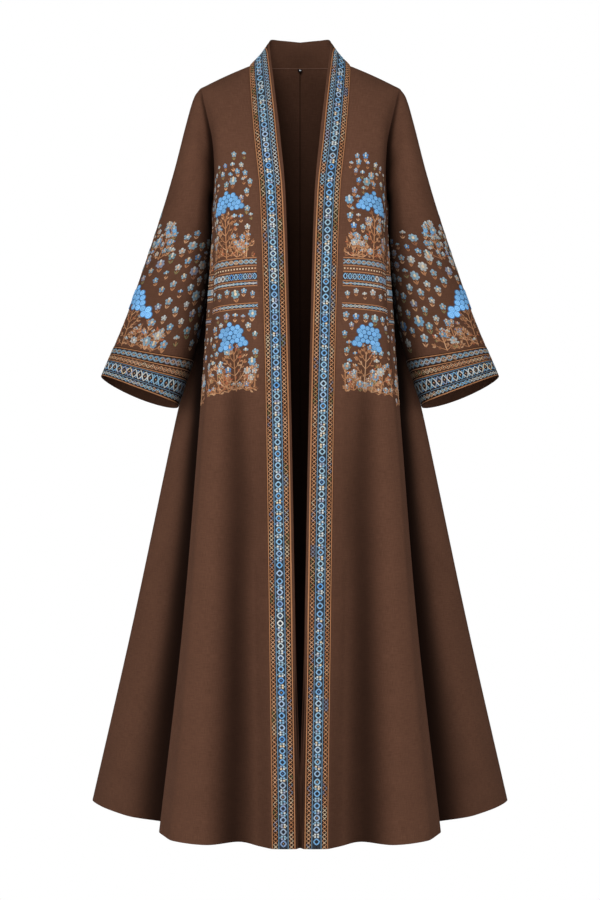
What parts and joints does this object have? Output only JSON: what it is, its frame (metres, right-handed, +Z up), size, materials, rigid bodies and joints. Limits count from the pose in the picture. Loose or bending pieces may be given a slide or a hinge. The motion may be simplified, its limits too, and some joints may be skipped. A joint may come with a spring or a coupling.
{
  "type": "open-front abaya",
  "caption": "Hollow, worn-shape open-front abaya: long flared robe with wide bracelet sleeves, a narrow standing-collar band, ribbon trim, cuff bands and embroidered fronts.",
  "frame": {"origin": "between the wearer's shoulders, level with the side of the neck, on the centre plane and on the line through both shoulder seams", "axes": "+Z up, -Y the wearer's front, +X the wearer's left"},
  "size_m": [0.8096, 0.464, 1.4823],
  "materials": {
    "cloth": "matt brown crepe",
    "band_cloth": "matt brown crepe, doubled",
    "embroidered_ribbon": "embroidered ribbon, copper and blue thread",
    "tab": "black woven tab"
  },
  "bodies": {
    "root": {"front_left": "cloth", "gore_left": "cloth", "back_left": "cloth", "sleeve_left": "cloth", "band_left": "band_cloth", "ribbon_left": "embroidered_ribbon", "cuff_band_left": "embroidered_ribbon", "front_right": "cloth", "gore_right": "cloth", "back_right": "cloth", "sleeve_right": "cloth", "band_right": "band_cloth", "ribbon_right": "embroidered_ribbon", "cuff_band_right": "embroidered_ribbon", "size_tab": "tab"}
  },
  "joints": []
}
